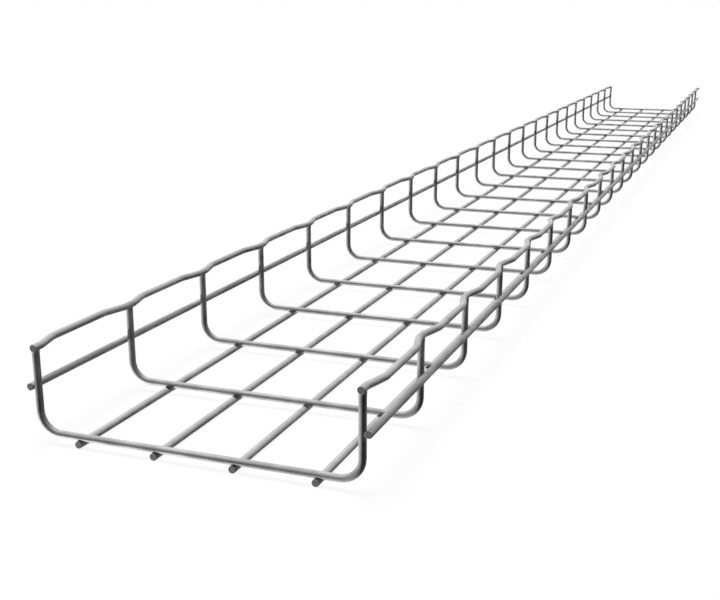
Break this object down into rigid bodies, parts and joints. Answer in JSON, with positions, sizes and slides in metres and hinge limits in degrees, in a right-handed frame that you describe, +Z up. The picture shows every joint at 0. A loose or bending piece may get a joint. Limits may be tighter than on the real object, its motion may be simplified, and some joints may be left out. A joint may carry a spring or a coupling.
{
  "type": "wire mesh cable tray",
  "caption": "Straight length of welded wire cable tray: U-shaped cross wires on straight floor and side wires, with a waved rim wire along each top edge.",
  "frame": {"origin": "middle of the tray across and along, level with the underside of the floor wires", "axes": "+Y along the tray, +X across it, +Z up out of its open top"},
  "size_m": [0.216, 2.3324, 0.0607],
  "materials": {
    "galvanised_wire": "bright zinc on drawn steel wire, smooth with faint lengthwise drawing lines"
  },
  "bodies": {
    "root": {"cross_wire_01": "galvanised_wire", "cross_wire_02": "galvanised_wire", "cross_wire_03": "galvanised_wire", "cross_wire_04": "galvanised_wire", "cross_wire_05": "galvanised_wire", "cross_wire_06": "galvanised_wire", "cross_wire_07": "galvanised_wire", "cross_wire_08": "galvanised_wire", "cross_wire_09": "galvanised_wire", "cross_wire_10": "galvanised_wire", "cross_wire_11": "galvanised_wire", "cross_wire_12": "galvanised_wire", "cross_wire_13": "galvanised_wire", "cross_wire_14": "galvanised_wire", "cross_wire_15": "galvanised_wire", "cross_wire_16": "galvanised_wire", "cross_wire_17": "galvanised_wire", "cross_wire_18": "galvanised_wire", "cross_wire_19": "galvanised_wire", "cross_wire_20": "galvanised_wire", "cross_wire_21": "galvanised_wire", "cross_wire_22": "galvanised_wire", "cross_wire_23": "galvanised_wire", "cross_wire_24": "galvanised_wire", "floor_wire_1": "galvanised_wire", "floor_wire_2": "galvanised_wire", "floor_wire_3": "galvanised_wire", "floor_wire_4": "galvanised_wire", "side_wire_left": "galvanised_wire", "side_wire_right": "galvanised_wire", "rim_wire_left": "galvanised_wire", "rim_wire_right": "galvanised_wire"}
  },
  "joints": []
}
